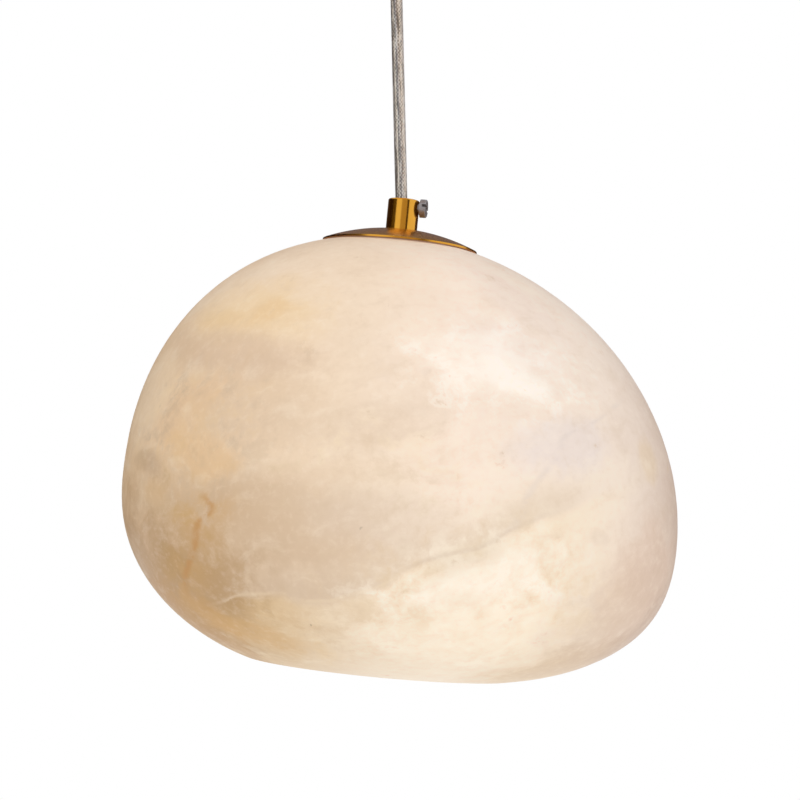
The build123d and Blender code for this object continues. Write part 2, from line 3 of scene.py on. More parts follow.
import bmesh
import bpy
from mathutils import Matrix, Vector


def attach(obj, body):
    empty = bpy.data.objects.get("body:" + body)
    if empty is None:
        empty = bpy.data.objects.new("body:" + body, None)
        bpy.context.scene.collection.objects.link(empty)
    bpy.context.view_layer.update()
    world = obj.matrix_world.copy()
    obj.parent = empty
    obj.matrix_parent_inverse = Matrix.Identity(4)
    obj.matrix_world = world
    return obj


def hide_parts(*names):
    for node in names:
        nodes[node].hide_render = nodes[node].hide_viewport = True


# Looks of an alabaster pendant light, in metres, in the frame of its CAD model: the ceiling is z = 0,
# +X is the viewer's right and +Y points away from the viewer.

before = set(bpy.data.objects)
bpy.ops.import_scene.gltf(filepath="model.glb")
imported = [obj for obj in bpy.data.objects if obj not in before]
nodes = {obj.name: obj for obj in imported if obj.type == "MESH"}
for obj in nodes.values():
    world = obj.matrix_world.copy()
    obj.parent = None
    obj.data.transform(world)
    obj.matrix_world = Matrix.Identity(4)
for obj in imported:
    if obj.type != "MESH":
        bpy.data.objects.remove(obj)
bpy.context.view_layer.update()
scene = bpy.context.scene

MM = 0.001
WHITE = (1, 1, 1, 1)

# View of the photograph: how much of the light's own plane the frame spans, and from how far
FRAME_SPAN = 330.0 * MM
VIEW_DISTANCE = 750.0 * MM
VIEW_CENTRE = Vector((0.61, 0.0, -216.97)) * MM
EYE_LEVEL = -246.0 * MM
SENSOR = 36.0

# Cord: a straight stretch between the mouths of the two grips, with its ends rounded about the mouths
CORD_TOP = Vector((-1.15, 0.0, -37.9)) * MM
CORD_BOTTOM = Vector((1.19549, 0.0, -133.87134)) * MM
CORD_DIAMETER = 5.0 * MM
CORD_END_TURN = math.radians(80)
CORD_END_STEPS = 4
SHEATH_SMOOTHNESS = 8

# Screen under the sheath: flat strands wound both ways, each lifted over and under the others by turns
BRAID_RADIUS = 1.5 * MM
BRAID_PITCH = 26.4 * MM
BRAID_CARRIERS = 8
BRAID_STRAND_WIDTH = 0.85 * MM
BRAID_STRAND_THICK = 0.14 * MM
BRAID_LIFT = 0.1 * MM
BRAID_INSERT = 1.8 * MM
BRAID_LENGTH = (CORD_TOP - CORD_BOTTOM).length + 2 * BRAID_INSERT
STRAND_SIDES = 8
STRAND_STEPS = 24
CORE_RADIUS = 1.3 * MM
CORE_SIDES = 32

# Painted reflections and shade along the screen, as bright and dark bands: their shades over a turn, which
# starts on the left and passes the viewer first, the level on the cord at which they lie so, and their turns
# to the metre
BRAID_PAINTED_BANDS = [
    (0.0, "#8F8A88"), (0.07, "#98938E"), (0.1, "#9C968F"), (0.126, "#F3EADF"), (0.158, "#EFEAE2"),
    (0.19, "#77716F"), (0.228, "#74747B"), (0.262, "#D2CED3"), (0.291, "#C1B1A7"), (0.321, "#82736A"),
    (0.353, "#E0CFC1"), (0.401, "#F4E8DB"), (0.5, "#CFC3BB"), (0.75, "#C4BDB8"), (1.0, "#8F8A88"),
]
STRIPE_LEVEL = 0.4
STRIPE_TWIST = 1.15
# Grain of the stripes' edges, and how far it shifts them, in turns
FRAY_SIZE = 0.7 * MM
FRAY_SHIFT = 0.02
# Glints on the strands: their size across and along, what the beads at the crossings add to them, the shades
# of the bright and the dark ones with the levels of none and all, and the most that they cover
GLINT_SIZE = (0.6 * MM, 0.6 * MM, 7 * MM)
BEAD_PITCH = BRAID_PITCH / (2 * BRAID_CARRIERS)
BEAD_SHARE = 0.12
GLINTS = [("#FFFDFA", 0.52, 0.64), ("#5A534E", 0.48, 0.36)]
GLINT_COVER = 0.7

# Floor: a wide disc well below the light. It is partly white to the eye, and wholly so further out: the fade
# runs from the near to the far distance from the ceiling point.
FLOOR_LEVEL = -1500.0 * MM
FLOOR_RADIUS = 4.0
FLOOR_SIDES = 96
FLOOR_FADE = (1.9, 3.4)
FLOOR_PALE = 0.5

# Studio cards round the light: from and to in degrees (0 is the viewer's side, plus is right), levels, shade
CARD_RADIUS = 1.3
CARD_STEP = 4
CARDS = [
    ("card_left_back", -180, -140, -0.45, 0.1, "#33261C"),
    ("card_left", -140, -80, -0.45, 0.7, "#33261C"),
    ("card_left_olive", -80, -52, -0.45, 0.6, "#5A5033"),
    ("card_viewer", -12, 28, -0.45, 0.9, "#C4B8A4"),
    ("card_slot", 28, 42, -0.45, 0.9, "#4A3B28"),
    ("card_right_back", 114, 180, -0.45, 0.1, "#4A3A34"),
    ("card_back_high", 140, 220, 0.1, 1.3, "#736C74"),
]

# Soft square lamps: where they stand and their watts, and the light from all round
LAMP_SIZE = 0.9
LAMPS = [
    ("key_lamp", (0.6, -1.0, 0.2), 2.7),
    ("fill_lamp", (-0.9, -0.5, 0.35), 3.3),
    ("low_lamp", (0.1, -0.7, -0.9), 1.6),
]
AMBIENT = 0.75

# Size of the clouds in the brass, and how far a plain finish varies in roughness, either way
BRASS_CLOUD = 6.0 * MM
ROUGH_SPREAD = 0.05


def linear(hex_colour):
    """Linear RGBA of an sRGB hex value."""
    channels = [int(hex_colour[i:i + 2], 16) / 255 for i in (1, 3, 5)]
    return [c / 12.92 if c <= 0.04045 else ((c + 0.055) / 1.055) ** 2.4 for c in channels] + [1.0]


def add(tree, kind, inputs=None, **settings):
    """Adds a node with its settings; an input is a value or the socket that feeds it."""
    node = tree.nodes.new(kind)
    for name, value in settings.items():
        setattr(node, name, value)
    for key, value in (inputs or {}).items():
        if isinstance(value, bpy.types.NodeSocket):
            tree.links.new(value, node.inputs[key])
        else:
            node.inputs[key].default_value = value
    return node


def new_material(name, **values):
    """Principled material with its uniform values set on the shader's own sockets."""
    material = bpy.data.materials.new(name)
    material.use_nodes = True
    tree = material.node_tree
    shader = tree.nodes["Principled BSDF"]
    for key, value in values.items():
        shader.inputs[key.replace("_", " ")].default_value = value
    place = add(tree, "ShaderNodeTexCoord").outputs["Object"]
    return material, tree, shader, place


def set_stops(ramp, stops):
    """Gives a colour ramp its shades, first and last included."""
    for spot, _ in stops[1:-1]:
        ramp.elements.new(spot)
    for element, (spot, shade) in zip(ramp.elements, stops):
        element.position = spot
        element.color = linear(shade)


def lacquered_brass(name, smoothest, roughest):
    """Warm yellow metal under clear lacquer, faintly cloudy where the mop or the spinning tool has been."""
    material, tree, shader, place = new_material(name, Metallic=1.0)
    cloud = add(tree, "ShaderNodeTexNoise", {
        "Vector": place, "Scale": 1 / BRASS_CLOUD, "Detail": 4.0}).outputs["Fac"]
    colour = add(tree, "ShaderNodeMix", {
        "Factor": cloud, "A": linear("#D99A33"), "B": linear("#E5AA45")}, data_type="RGBA")
    tree.links.new(colour.outputs["Result"], shader.inputs["Base Color"])
    rough = add(tree, "ShaderNodeMapRange", {"Value": cloud, "To Min": smoothest, "To Max": roughest})
    tree.links.new(rough.outputs["Result"], shader.inputs["Roughness"])
    return material


def plain(name, dark, light, grain, rough, **values):
    """A finish that varies gently between two shades over grains of a real size."""
    material, tree, shader, place = new_material(name, **values)
    cloud = add(tree, "ShaderNodeTexNoise", {
        "Vector": place, "Scale": 1 / grain, "Detail": 5.0}).outputs["Fac"]
    colour = add(tree, "ShaderNodeMix", {
        "Factor": cloud, "A": linear(dark), "B": linear(light)}, data_type="RGBA")
    tree.links.new(colour.outputs["Result"], shader.inputs["Base Color"])
    spread = add(tree, "ShaderNodeMapRange", {
        "Value": cloud, "To Min": rough - ROUGH_SPREAD, "To Max": rough + ROUGH_SPREAD})
    tree.links.new(spread.outputs["Result"], shader.inputs["Roughness"])
    return material


def tinned_braid():
    """Dull silver, with painted bands of reflection and shade along the cord, painted glints and a painted
    glow.
    """
    # Painted glow: the strands glow a little in their own colour, standing in for light that the clear sheath
    # keeps off them
    material, tree, shader, place = new_material(
        "tinned_copper_braid", Metallic=0.2, Roughness=0.5, Emission_Strength=0.22)

    # The cord's own line as Z, which gives the rise along the cord and the turn round it
    lean = math.atan2(CORD_BOTTOM.x - CORD_TOP.x, CORD_TOP.z - CORD_BOTTOM.z)
    upright = add(tree, "ShaderNodeMapping", {
        "Vector": place, "Location": CORD_BOTTOM.lerp(CORD_TOP, STRIPE_LEVEL), "Rotation": (0, -lean, 0)},
        vector_type="TEXTURE").outputs[0]
    rise = add(tree, "ShaderNodeSeparateXYZ", {0: upright}).outputs["Z"]
    turn = add(tree, "ShaderNodeTexGradient", {0: upright}, gradient_type="RADIAL").outputs["Fac"]

    # Painted bands of reflection and shade round the cord, which follow its twist, frayed at their edges
    cloud = add(tree, "ShaderNodeTexNoise", {
        "Vector": place, "Scale": 1 / FRAY_SIZE, "Detail": 3.0}).outputs[0]
    twist = add(tree, "ShaderNodeMath", {
        0: rise, 1: STRIPE_TWIST, 2: turn}, operation="MULTIPLY_ADD").outputs[0]
    loose = add(tree, "ShaderNodeMath", {
        0: cloud, 1: FRAY_SHIFT, 2: twist}, operation="MULTIPLY_ADD").outputs[0]
    # Painted reflection and shade: bright and dark bands set by the turn towards the viewer
    painted_band = add(tree, "ShaderNodeValToRGB", {0: loose})
    set_stops(painted_band.color_ramp, BRAID_PAINTED_BANDS)

    # Glints drawn out along the cord, beaded where the strands cross
    drawn = add(tree, "ShaderNodeMapping", {
        "Vector": upright, "Scale": GLINT_SIZE}, vector_type="TEXTURE").outputs[0]
    glint = add(tree, "ShaderNodeTexNoise", {"Vector": drawn, "Scale": 1.0, "Detail": 2.0}).outputs[0]
    sparkle = BEAD_SHARE
    for way, count in ((rise, 1 / BEAD_PITCH), (turn, BRAID_CARRIERS)):
        phase = add(tree, "ShaderNodeMath", {
            0: way, 1: 2 * math.pi * count}, operation="MULTIPLY").outputs[0]
        bead = add(tree, "ShaderNodeMath", {0: phase}, operation="SINE").outputs[0]
        sparkle = add(tree, "ShaderNodeMath", {0: bead, 1: sparkle}, operation="MULTIPLY").outputs[0]
    sparkle = add(tree, "ShaderNodeMath", {0: sparkle, 1: glint}, operation="ADD").outputs[0]
    colour = painted_band.outputs[0]
    for shade, none, whole in GLINTS:
        share = add(tree, "ShaderNodeMapRange", {
            "Value": sparkle, "From Min": none, "From Max": whole, "To Max": GLINT_COVER}).outputs[0]
        mixed = add(tree, "ShaderNodeMix", {
            "Factor": share, "A": colour, "B": linear(shade)}, data_type="RGBA")
        colour = mixed.outputs["Result"]
    tree.links.new(colour, shader.inputs["Base Color"])
    tree.links.new(colour, shader.inputs["Emission Color"])
    return material


# Marks in the stone, and two of painted shade on its lower flanks, in millimetres: where they lie, half
# sizes, turn in degrees, colour and strength
STONE_MARKS_AND_SHADE = [
    # Painted shade: darkens the lower left flank towards its rim
    ((-108, -44, -302), (86, 110, 74), 0, "#AD875C", 0.76),
    ((-46, -90, -264), (76, 76, 30), 3, "#C8AC8F", 0.57),
    ((-54, -60, -186.5), (48, 44, 22), 4, "#E9CA98", 0.45),
    ((-66, -52, -188.5), (14, 20, 8), 12, "#DFBA82", 0.25),
    ((-50, -66, -186.5), (16, 20, 8), -16, "#E0B676", 0.32),
    ((-74, -62, -288), (40, 50, 34), 0, "#B58F5F", 0.5),
    ((-64, -72, -266), (52, 62, 42), 0, "#BFA07C", 0.3),
    ((-96, -40, -218), (22, 44, 30), 0, "#EBD3B5", 0.65),
    ((-50, -78, -222), (44, 54, 26), 0, "#D3B89B", 0.4),
    ((-60, -66, -202.5), (66, 50, 14), 10, "#D0B49A", 0.5),
    ((-78, -66, -223.5), (36, 42, 12), -30, "#E2C09A", 0.5),
    ((-72, -76, -239.5), (30, 40, 13), 8, "#E3BF92", 0.55),
    ((-96, -52, -244.5), (12, 26, 8), 30, "#BFA386", 0.55),
    ((-84, -62, -259.5), (30, 40, 8), 6, "#CBAE8A", 0.45),
    ((-94, -52, -255.5), (12, 24, 8), 0, "#DCBB92", 0.45),
    ((34, -82, -207.5), (46, 40, 20), 14, "#FDF3E8", 0.6),
    ((40, -82, -211.5), (28, 40, 8), 14, "#FFF9F2", 0.4),
    ((46, -52, -182.5), (40, 30, 12), 38, "#E6D3C7", 0.45),
    ((42, -74, -199), (36, 34, 15), 20, "#F5E9E2", 0.35),
    ((60, -84, -237.5), (34, 34, 17), -8, "#E6D9D4", 0.65),
    ((30, -95, -285.5), (46, 42, 17), -24, "#FBEFDF", 0.6),
    ((26, -80, -305.5), (56, 46, 20), -4, "#FAEAD4", 0.7),
    ((60, -44, -323.5), (52, 62, 17), -8, "#D6B994", 0.65),
    ((-83, -61, -283.5), (14, 26, 13), -30, "#B08A55", 0.6),
    ((-70, -54, -302.5), (22, 26, 8), 35, "#CB9A58", 0.55),
    ((-80, -26, -305), (46, 60, 15), 34, "#B68544", 0.55),
    ((-54, -58, -307.5), (36, 32, 9), 8, "#D2A86E", 0.5),
    ((97, -49, -243.5), (8, 18, 14), 0, "#E2C8A4", 0.4),
    ((95, -52, -289.5), (34, 54, 38), 0, "#E2C0A8", 0.32),
    # Painted shade: darkens the lower right flank towards its edge
    ((88, -36, -306), (62, 84, 48), 0, "#CBAF98", 0.55),
    ((95, -10, -305), (44, 50, 17), -42, "#B4957F", 0.55),
    ((75, -78, -269.5), (7, 12, 5), 20, "#D6C0AC", 0.25),
    ((-31, -82, -301.1), (1.2, 3, 0.9), 0, "#8A6A48", 0.7),
    ((-15, -101, -265.1), (0.9, 3, 0.8), 0, "#A08566", 0.6),
    ((-72, -64, -286), (34, 46, 26), 0, "#B08C60", 0.35),
    ((-76, -60, -261), (17, 26, 11), 0, "#C9A062", 0.58),
    ((24, -98, -277), (22, 22, 8), -22, "#DCC8AC", 0.4),
    ((-8, -100, -262), (40, 40, 16), 4, "#DFCDBD", 0.3),
    ((-24, 92, -212), (58, 50, 18), -12, "#FBF0E2", 0.5),
    ((30, 94, -250), (70, 50, 22), -10, "#E0C9AE", 0.5),
    ((58, 76, -276), (34, 34, 10), 22, "#D3A868", 0.5),
    ((-60, 76, -262), (30, 34, 16), -8, "#D9BC93", 0.5),
    ((-14, 88, -296), (60, 44, 20), -6, "#FBEFDC", 0.6),
    ((-95, 20, -225), (30, 44, 26), 0, "#F5E6CF", 0.5),
]
# Sugary patches: where they lie, half sizes, and the colours of their bright and dull grains
STONE_GRAINS = [
    ((30, -95, -292), (76, 70, 40), ("#FEF5E8", 0.78), ("#E0C7A5", 0.64)),
    ((-78, -70, -233.5), (52, 64, 46), ("#E9CB9C", 0.6), ("#C3AB91", 0.55)),
    ((38, -82, -209.5), (66, 64, 38), ("#FFF8F0", 0.5), ("#EADBD0", 0.32)),
    ((-20, -96, -255), (76, 70, 44), ("#F3E0C2", 0.4), ("#D6BD9F", 0.35)),
    ((-50, -70, -308), (60, 60, 24), ("#EACB98", 0.3), ("#C79F69", 0.3)),
    ((10, 95, -240), (120, 90, 80), ("#F7E7D0", 0.45), ("#D2B898", 0.45)),
]
# Line where two beds of the stone meet: its level over the way from left to right
BED_LINE = [
    (-110, -302), (-80, -298.1), (-64, -294.7), (-60, -292.4), (-48, -290.9), (-41, -290.5), (-35, -292.7),
    (-26, -293.2), (-18, -291.1), (-6, -286.9), (7, -279.2), (16, -276.4), (28, -273.4), (37, -269.7),
    (44, -266.1), (52, -262.6), (60, -260.3), (79, -252.6), (97, -245.8), (125, -239),
]
# Rusty vein on the left: how far across it lies, going up
RUST_VEIN = [
    (-310, -52.4), (-307, -66.5), (-303, -70.1), (-299, -75.9), (-293.4, -80.7), (-286.5, -80.7),
    (-279.5, -78), (-273.6, -75.6), (-266.2, -74.6), (-259.5, -69), (-255.9, -71.3),
]
# Faint crease that climbs to the right from the line of the beds: how far across it lies, going up
CREASE = [
    (-270.8, 31), (-265.8, 41.7), (-251.1, 49), (-239.3, 58.9), (-234.2, 60.1), (-229.7, 69.7),
    (-219.5, 85.4),
]
# Ground tone of the stone, from its left flank to its right one: tan on the left to cream, with painted shade
# that darkens it at both flanks and turns the right edge pinkish grey
STONE_FLANKS = (-112 * MM, 118 * MM)
STONE_TONES_AND_FLANK_SHADE = [
    (0.0, "#DDBF9C"), (0.15, "#E5C9A8"), (0.42, "#ECD7C0"), (0.58, "#F6E4D4"), (0.8, "#F2E2D4"),
    (0.92, "#E4D1C3"), (1.0, "#D3BBAB"),
]
# Drift of the marks: its size, and how far it pushes them each way
DRIFT_SIZE = 34 * MM
DRIFT_PUSH = (18 * MM, 18 * MM, 14 * MM)
# How far the drift sways the line of the beds, and the vein and the crease
BED_SWAY = 4 * MM
VEIN_SWAY = 6 * MM
# Beds: how they dip to the left, and how far their clouds are drawn out along them
BED_DIP = math.radians(-12)
BED_STRETCH = (2.6, 2.0, 1.0)
# How ragged the marks are
MARK_FRAY = 0.8
# Levels of none and all: of a sugary patch, of its bright and dull grains, and of a ragged mark
PATCH_FADE = (0.0, 0.7)
GRAIN_FADES = ((0.48, 0.66), (0.52, 0.34))
MARK_FADE = (0.5, 1.1)
# Painted glow, for the bulb's light through the stone and for light on its underside, from its middle to its
# foot: levels and strengths
PAINTED_GLOW_LEVELS = (-275 * MM, -325 * MM)
PAINTED_GLOW_STRENGTHS = (0.15, 0.22)


def follow(tree, value, points):
    """Smooth curve through points given in millimetres, read at a socket's value in metres."""
    start, end = points[0][0], points[-1][0]
    low = min(level for _, level in points)
    high = max(level for _, level in points)
    share = add(tree, "ShaderNodeMapRange", {"Value": value, "From Min": start * MM, "From Max": end * MM})
    bend = add(tree, "ShaderNodeFloatCurve", {"Value": share.outputs[0]})
    line = bend.mapping.curves[0].points
    for at, level in points:
        spot = ((at - start) / (end - start), (level - low) / (high - low))
        if at in (start, end):
            line[0 if at == start else -1].location = spot
        else:
            line.new(*spot)
    bend.mapping.update()
    back = add(tree, "ShaderNodeMapRange", {
        "Value": bend.outputs[0], "To Min": low * MM, "To Max": high * MM})
    return back.outputs[0]


def soft_ball(tree, place, centre, reach, turn=0):
    """Share that falls from one at a mark's centre to nothing at its reach, in millimetres and degrees."""
    inside = add(tree, "ShaderNodeMapping", {
        "Vector": place, "Location": [c * MM for c in centre], "Rotation": (0, math.radians(turn), 0),
        "Scale": [r * MM for r in reach]}, vector_type="TEXTURE").outputs[0]
    return add(tree, "ShaderNodeTexGradient", {0: inside}, gradient_type="SPHERICAL").outputs["Fac"]


def alabaster():
    """Honed stone: cream beds that drift into one another, ochre and rust where iron got in, a waxy shine,
    with painted shade on its flanks and a painted glow.
    """
    material, tree, shader, place = new_material(
        "honed_alabaster", Roughness=0.42, IOR=1.52, Specular_IOR_Level=0.25)

    # Slow drift, which keeps every mark from looking drawn
    wander = add(tree, "ShaderNodeTexNoise", {
        "Vector": place, "Scale": 1 / DRIFT_SIZE, "Detail": 5.0, "Roughness": 0.62}).outputs["Color"]
    centred = add(tree, "ShaderNodeVectorMath", {
        0: wander, 1: (0.5, 0.5, 0.5)}, operation="SUBTRACT").outputs[0]
    pushed = add(tree, "ShaderNodeVectorMath", {
        0: centred, 1: DRIFT_PUSH, 2: place}, operation="MULTIPLY_ADD").outputs[0]
    at = add(tree, "ShaderNodeSeparateXYZ", {0: place}).outputs
    drift = add(tree, "ShaderNodeSeparateXYZ", {0: pushed}).outputs
    laid = add(tree, "ShaderNodeMapping", {
        "Vector": pushed, "Rotation": (0, BED_DIP, 0), "Scale": BED_STRETCH},
        vector_type="TEXTURE").outputs[0]

    # Ground tone from the left flank to the right, with painted shade darker at both flanks
    across = add(tree, "ShaderNodeMapRange", {
        "Value": drift["X"], "From Min": STONE_FLANKS[0], "From Max": STONE_FLANKS[1]})
    tone = add(tree, "ShaderNodeValToRGB", {0: across.outputs[0]})
    set_stops(tone.color_ramp, STONE_TONES_AND_FLANK_SHADE)

    # Clouds along the beds, streaks in them, blotches and sugary grain: size, detail and roughness
    broad, streak, blotch, sugar = [
        add(tree, "ShaderNodeTexNoise", {
            "Vector": way, "Scale": 1 / size, "Detail": detail, "Roughness": rough}).outputs[0]
        for way, size, detail, rough in (
            (laid, 30 * MM, 4.0, 0.5),
            (laid, 6 * MM, 6.0, 0.62),
            (pushed, 11 * MM, 6.0, 0.66),
            (place, 3 * MM, 3.0, 0.6),
        )]

    # Layers over the ground: a colour, its strength, and what it fades over, each a value with its levels of
    # none and all
    layers = [
        ("#F9EBD7", 0.38, (broad, 0.46, 0.76)),
        ("#D4BDA6", 0.3, (broad, 0.52, 0.24)),
    ]

    # The lower bed: yellower on the left, brighter on the right, under a duller band
    level = follow(tree, drift["X"], BED_LINE)
    wave = add(tree, "ShaderNodeMath", {
        0: centred, 1: BED_SWAY, 2: at["Z"]}, operation="MULTIPLY_ADD").outputs[0]
    above = add(tree, "ShaderNodeMath", {0: wave, 1: level}, operation="SUBTRACT").outputs[0]
    layers += [
        ("#CBB298", 0.6, (above, 0.024, 0.002), (at["X"], 0.01, -0.03)),
        ("#DDC9B0", 0.6, (above, 0.02, 0.002), (at["X"], -0.03, 0.01), (at["X"], 0.085, 0.05)),
        ("#DDBD8C", 0.7, (above, 0.0012, -0.004), (at["X"], 0.012, -0.06)),
        ("#F7E6CE", 0.7, (above, 0.0012, -0.004), (at["X"], -0.06, 0.012), (at["X"], 0.1, 0.055)),
    ]

    # Sugary patches, and marks with the painted shade among them, each inside a soft ball
    for centre, reach, *grains in STONE_GRAINS:
        ball = soft_ball(tree, pushed, centre, reach)
        for (shade, strength), fade in zip(grains, GRAIN_FADES):
            layers.append((shade, strength, (ball, *PATCH_FADE), (blotch, *fade)))
    for centre, reach, turn, shade, strength in STONE_MARKS_AND_SHADE:
        ball = soft_ball(tree, pushed, centre, reach, turn)
        frayed = add(tree, "ShaderNodeMath", {
            0: blotch, 1: MARK_FRAY, 2: ball}, operation="MULTIPLY_ADD").outputs[0]
        layers.append((shade, strength, (frayed, *MARK_FADE)))

    # How far a place lies from the vein, from the crease and from the line of the beds
    sway = add(tree, "ShaderNodeMath", {
        0: centred, 1: VEIN_SWAY, 2: at["X"]}, operation="MULTIPLY_ADD").outputs[0]
    offsets = [
        add(tree, "ShaderNodeMath", {
            0: sway, 1: follow(tree, at["Z"], line)}, operation="SUBTRACT").outputs[0]
        for line in (RUST_VEIN, CREASE)]
    off_vein, off_crease, off_beds = [
        add(tree, "ShaderNodeMath", {0: offset}, operation="ABSOLUTE").outputs[0]
        for offset in (*offsets, above)]

    # Streaks and sugary grain over all of it, a rusty vein that comes and goes, a crease, and hairlines
    # between the beds
    front = (at["Y"], 0.0, -0.05)
    vein_run = ((at["Z"], -0.252, -0.259), (at["Z"], -0.311, -0.303), front)
    crease_run = ((at["Z"], -0.272, -0.262), (at["Z"], -0.216, -0.223), front)
    layers += [
        ("#FBEFDD", 0.18, (streak, 0.5, 0.74)),
        ("#CFB598", 0.17, (streak, 0.5, 0.26)),
        ("#FFF4E6", 0.09, (sugar, 0.5, 0.72)),
        ("#C7AB8B", 0.09, (sugar, 0.5, 0.28)),
        ("#CBA36D", 0.5, (off_vein, 0.017, 0.0), (blotch, 0.3, 0.58), *vein_run),
        ("#BE884C", 0.6, (off_vein, 0.0026, 0.0), (blotch, 0.27, 0.51), (at["Z"], -0.298, -0.284),
         *vein_run),
        ("#CBBDB9", 0.2, (off_crease, 0.003, 0.0), (streak, 0.4, 0.6), *crease_run),
        ("#C6AC94", 0.22, (off_beds, 0.0016, 0.0), (streak, 0.36, 0.56), (at["X"], -0.004, 0.008),
         (at["X"], 0.07, 0.03)),
        ("#EAD6BA", 0.36, (off_beds, 0.0013, 0.0), (streak, 0.3, 0.54), (at["X"], 0.008, -0.004),
         (at["X"], -0.075, -0.06)),
    ]

    colour = tone.outputs[0]
    for shade, strength, *fades in layers:
        share = strength
        for value, none, whole in fades:
            fade = add(tree, "ShaderNodeMapRange", {"Value": value, "From Min": none, "From Max": whole},
                       interpolation_type="SMOOTHSTEP").outputs[0]
            share = add(tree, "ShaderNodeMath", {0: fade, 1: share}, operation="MULTIPLY").outputs[0]
        mixed = add(tree, "ShaderNodeMix", {
            "Factor": share, "A": colour, "B": linear(shade)}, data_type="RGBA")
        colour = mixed.outputs["Result"]
    tree.links.new(colour, shader.inputs["Base Color"])
    tree.links.new(colour, shader.inputs["Emission Color"])

    # Painted glow: the stone glows in its own colour for the bulb's light through it, most of all low down,
    # where it also stands in for light on the underside
    glow = add(tree, "ShaderNodeMapRange", {
        "Value": at["Z"], "From Min": PAINTED_GLOW_LEVELS[0], "From Max": PAINTED_GLOW_LEVELS[1],
        "To Min": PAINTED_GLOW_STRENGTHS[0], "To Max": PAINTED_GLOW_STRENGTHS[1]})
    tree.links.new(glow.outputs[0], shader.inputs["Emission Strength"])
    return material


def coloured_leads(name, brown_to, blue_from):
    """Smooth PVC on the wires: brown, green and blue, told apart by how far right each one lies."""
    material, tree, shader, place = new_material(name, Roughness=0.38)
    right = add(tree, "ShaderNodeSeparateXYZ", {0: place}).outputs["X"]
    colour = linear("#6E4527")
    for edge, shade in ((brown_to, "#4F7A3C"), (blue_from, "#3A64A4")):
        past = add(tree, "ShaderNodeMath", {0: right, 1: edge}, operation="GREATER_THAN").outputs[0]
        mixed = add(tree, "ShaderNodeMix", {
            "Factor": past, "A": colour, "B": linear(shade)}, data_type="RGBA")
        colour = mixed.outputs["Result"]
    tree.links.new(colour, shader.inputs["Base Color"])
    return material


turned_brass = lacquered_brass("turned_lacquered_brass", smoothest=0.12, roughest=0.2)
spun_brass = lacquered_brass("spun_lacquered_brass", smoothest=0.2, roughest=0.28)
stone = alabaster()
tinned_copper = tinned_braid()
canopy_wires = coloured_leads("pvc_canopy_leads", brown_to=-1.2 * MM, blue_from=1.0 * MM)
lamp_wires = coloured_leads("pvc_lamp_leads", brown_to=-3.1 * MM, blue_from=-3.1 * MM)
# Screws: a blunt grey shine with hardly a colour of its own
zinc = plain("bright_zinc_plate", "#86838A", "#A7A3A6", grain=3 * MM, rough=0.42, Metallic=0.6)
# Pressed and threaded steel: brighter, and cloudy from the plating bath
steel = plain("zinc_plated_steel", "#A9A8A5", "#C6C5C1", grain=5 * MM, rough=0.35, Metallic=1.0)
# Sheath of the cord: clear, so that little but its edges and highlights shows
clear_pvc = plain("clear_pvc_sheath", "#F3EEE8", "#F8F5F1", grain=4 * MM, rough=0.1,
                  Transmission_Weight=1.0, IOR=1.53)
# Core of the cord: dull white between the strands of the screen
core_white = plain("white_insulation", "#D9D4CC", "#E8E4DD", grain=3 * MM, rough=0.5)
# Gasket and pads: soft and dull, a little grey
silicone = plain("silicone_rubber", "#D4D1CB", "#E0DDD8", grain=4 * MM, rough=0.6)
# Core of the lampholder: pressed and fired, matt and chalky
steatite = plain("steatite_ceramic", "#E6E2DA", "#F1EEE8", grain=3 * MM, rough=0.55)
# Contacts and pins: pale yellow metal, lightly tarnished
tinned_brass = plain("tinned_spring_brass", "#B79A60", "#D0B882", grain=2 * MM, rough=0.3, Metallic=1.0)
# Terminal block: milky, with a low sheen off the mould
polyamide = plain("moulded_polyamide", "#E4E0D8", "#EFECE6", grain=4 * MM, rough=0.5)
# Foot of the bulb: a glossy white moulding
bulb_white = plain("white_bulb_body", "#E9E8E6", "#F4F3F1", grain=5 * MM, rough=0.35)
# Cover of the bulb: an even, warm, milky glow
opal = plain("opal_polycarbonate", "#F1E9DC", "#F8F2E8", grain=5 * MM, rough=0.4,
             Emission_Color=linear("#FFE6C4"), Emission_Strength=1.4)
# Board inside the bulb: yellow chips on white
board = plain("led_board", "#D8C87C", "#E9E2C2", grain=2 * MM, rough=0.45)

FINISHES = [
    (turned_brass, ["canopy_ball_nuts", "canopy_cord_grip", "cord_grip"]),
    (spun_brass, ["ceiling_canopy", "top_cap"]),
    (zinc, ["clamp_screw", "canopy_clamp_screw", "earth_screw", "terminal_fixing_screw", "holder_screws"]),
    (steel, ["canopy_bracket", "canopy_studs", "canopy_nipple", "canopy_washer", "canopy_nut",
             "threaded_tube", "retaining_bar", "bar_washer", "bar_nut", "holder_cup"]),
    (stone, ["alabaster_shade"]),
    (tinned_copper, ["cord_upper_end", "cord_lower_end"]),
    (canopy_wires, ["canopy_leads"]),
    (lamp_wires, ["lamp_leads"]),
    (silicone, ["cap_gasket", "bar_pads"]),
    (steatite, ["holder_core"]),
    (tinned_brass, ["holder_contacts", "bulb_pins", "terminal_screws"]),
    (polyamide, ["terminal_block"]),
    (bulb_white, ["bulb_base"]),
    (opal, ["bulb_diffuser"]),
    (board, ["bulb_led_core"]),
]
for finish, names in FINISHES:
    for name in names:
        nodes[name].data.materials.clear()
        nodes[name].data.materials.append(finish)


def placed(name, data):
    """New object in the scene that shows a mesh, a curve, a camera or a lamp."""
    thing = bpy.data.objects.new(name, data)
    scene.collection.objects.link(thing)
    return thing


def to_mesh(name, work):
    """Mesh from finished work in bmesh."""
    mesh = bpy.data.meshes.new(name)
    work.to_mesh(mesh)
    work.free()
    return mesh


